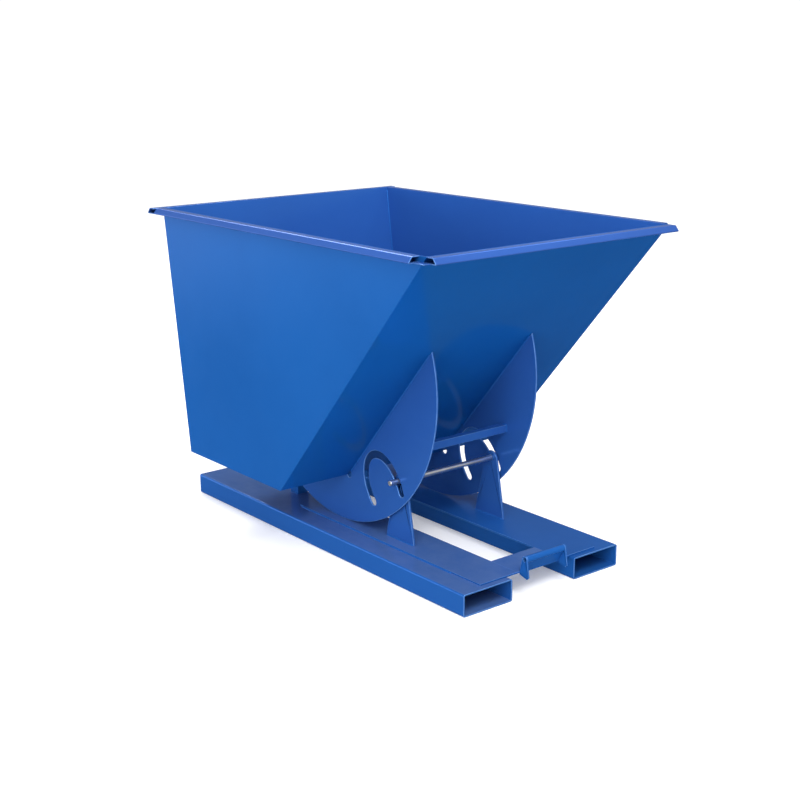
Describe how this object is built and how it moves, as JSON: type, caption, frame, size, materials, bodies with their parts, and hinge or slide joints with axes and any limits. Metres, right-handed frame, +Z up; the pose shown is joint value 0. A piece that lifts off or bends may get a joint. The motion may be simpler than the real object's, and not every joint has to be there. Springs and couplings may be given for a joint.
{
  "type": "self-dumping tipping bin",
  "caption": "Forklift tipping bin with a sloped chute front, on rocker plates that roll forward along a fork-pocket base, guided by a rod in a curved slot.",
  "frame": {"origin": "on the floor, at the centre of the overall bounding box", "axes": "+Z up, +X across the width, -Y towards the front, where the bin tips"},
  "size_m": [1.156, 1.703, 1.197],
  "materials": {
    "blue_paint": "glossy enamel",
    "bright_steel": "satin"
  },
  "bodies": {
    "base": {"fork_pocket_left": "blue_paint", "fork_pocket_right": "blue_paint", "track_plate_left": "blue_paint", "track_plate_right": "blue_paint", "front_plate": "blue_paint", "front_lip": "blue_paint", "front_sleeve": "blue_paint", "front_lug_left": "blue_paint", "front_lug_right": "blue_paint", "rear_cross_tube": "blue_paint", "rest_post_left": "blue_paint", "rest_post_right": "blue_paint", "ear_left": "blue_paint", "ear_right": "blue_paint", "guide_rod": "bright_steel"},
    "roll_carrier": {"roll_disc_left": "blue_paint", "roll_disc_right": "blue_paint"},
    "bin": {"side_left": "blue_paint", "side_right": "blue_paint", "chute_panel": "blue_paint", "bottom_panel": "blue_paint", "rear_panel": "blue_paint", "rim_left": "blue_paint", "rim_right": "blue_paint", "rim_front_hem": "blue_paint", "rim_rear_hem": "blue_paint", "rim_corner_left": "blue_paint", "rim_corner_right": "blue_paint", "rocker_left": "blue_paint", "rocker_right": "blue_paint", "tie_bar": "blue_paint"}
  },
  "joints": [
    {"name": "roll_travel", "type": "slide", "parent": "base", "child": "roll_carrier", "axis": [0, -1, 0], "range_m": [0, 0.6445]},
    {"name": "bin_roll", "type": "hinge", "parent": "roll_carrier", "child": "bin", "pos_m": [0, 0.0495, 0.637], "axis": [1, 0, 0], "range_deg": [0, 67]}
  ],
  "couplings": [
    {"joint": "roll_travel", "follows": "bin_roll", "m_per_rad": 0.551}
  ]
}
